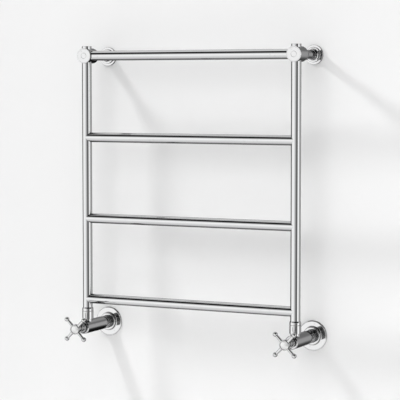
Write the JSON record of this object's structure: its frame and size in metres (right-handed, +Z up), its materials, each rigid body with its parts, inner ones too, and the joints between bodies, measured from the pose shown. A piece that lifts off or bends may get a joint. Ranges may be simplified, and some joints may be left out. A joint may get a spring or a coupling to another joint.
{
  "type": "heated towel rail with valves",
  "caption": "Wall-hung chrome heated towel rail: two uprights with round cross rails, two top wall brackets and a crosshead angle valve at each foot.",
  "frame": {"origin": "on the wall plane, midway between the two pipe inlets, at the height of the valves' axes", "axes": "+X to the right seen from the room, +Y into the wall, +Z up"},
  "size_m": [0.678, 0.2219, 0.7812],
  "materials": {
    "chrome": "polished",
    "brass": "satin",
    "zinc_steel": "satin",
    "rubber": "matte"
  },
  "bodies": {
    "frame": {"rail_1": "chrome", "rail_2": "chrome", "rail_3": "chrome", "rail_4": "chrome", "post_left": "chrome", "foot_bush_left": "brass", "foot_ring_left": "chrome", "post_cap_left": "chrome", "joint_barrel_left": "chrome", "front_disc_left": "chrome", "bracket_arm_left": "chrome", "bracket_rose_left": "chrome", "wall_boss_left": "zinc_steel", "grub_screw_left": "zinc_steel", "wall_screw_left": "zinc_steel", "valve_body_left": "chrome", "compression_nut_left": "chrome", "olive_left": "brass", "pipe_sleeve_left": "chrome", "wall_rose_left": "chrome", "tail_pipe_left": "brass", "union_nut_left": "chrome", "bonnet_left": "chrome", "gland_ring_left": "rubber", "gland_nut_left": "chrome", "post_right": "chrome", "foot_bush_right": "brass", "foot_ring_right": "chrome", "post_cap_right": "chrome", "joint_barrel_right": "chrome", "front_disc_right": "chrome", "bracket_arm_right": "chrome", "bracket_rose_right": "chrome", "wall_boss_right": "zinc_steel", "grub_screw_right": "zinc_steel", "wall_screw_right": "zinc_steel", "valve_body_right": "chrome", "compression_nut_right": "chrome", "olive_right": "brass", "pipe_sleeve_right": "chrome", "wall_rose_right": "chrome", "tail_pipe_right": "brass", "union_nut_right": "chrome", "bonnet_right": "chrome", "gland_ring_right": "rubber", "gland_nut_right": "chrome"},
    "handle_left": {"crosshead_left": "chrome", "index_cap_left": "chrome", "handle_screw_left": "zinc_steel", "spindle_left": "brass"},
    "plug_left": {"plug_carrier_left": "brass", "plug_washer_left": "rubber"},
    "handle_right": {"crosshead_right": "chrome", "index_cap_right": "chrome", "handle_screw_right": "zinc_steel", "spindle_right": "brass"},
    "plug_right": {"plug_carrier_right": "brass", "plug_washer_right": "rubber"},
    "bleed": {"vent_screw": "brass"}
  },
  "joints": [
    {"name": "handle_turn_left", "type": "hinge", "parent": "frame", "child": "handle_left", "pos_m": [-0.3, -0.115, 0], "axis": [0, -1, 0], "range_deg": [0, 781.71]},
    {"name": "plug_slide_left", "type": "slide", "parent": "frame", "child": "plug_left", "axis": [0, -1, 0], "range_m": [0, 0.00382]},
    {"name": "handle_turn_right", "type": "hinge", "parent": "frame", "child": "handle_right", "pos_m": [0.3, -0.115, 0], "axis": [0, -1, 0], "range_deg": [0, 781.71]},
    {"name": "plug_slide_right", "type": "slide", "parent": "frame", "child": "plug_right", "axis": [0, -1, 0], "range_m": [0, 0.00382]},
    {"name": "bleed_turn", "type": "hinge", "parent": "frame", "child": "bleed", "pos_m": [0.3, -0.115, 0.742], "axis": [0, 0, 1], "range_deg": [0, 360]}
  ],
  "couplings": [
    {"joint": "plug_slide_left", "follows": "handle_turn_left", "m_per_rad": 0.00027852},
    {"joint": "plug_slide_right", "follows": "handle_turn_right", "m_per_rad": 0.00027852}
  ]
}
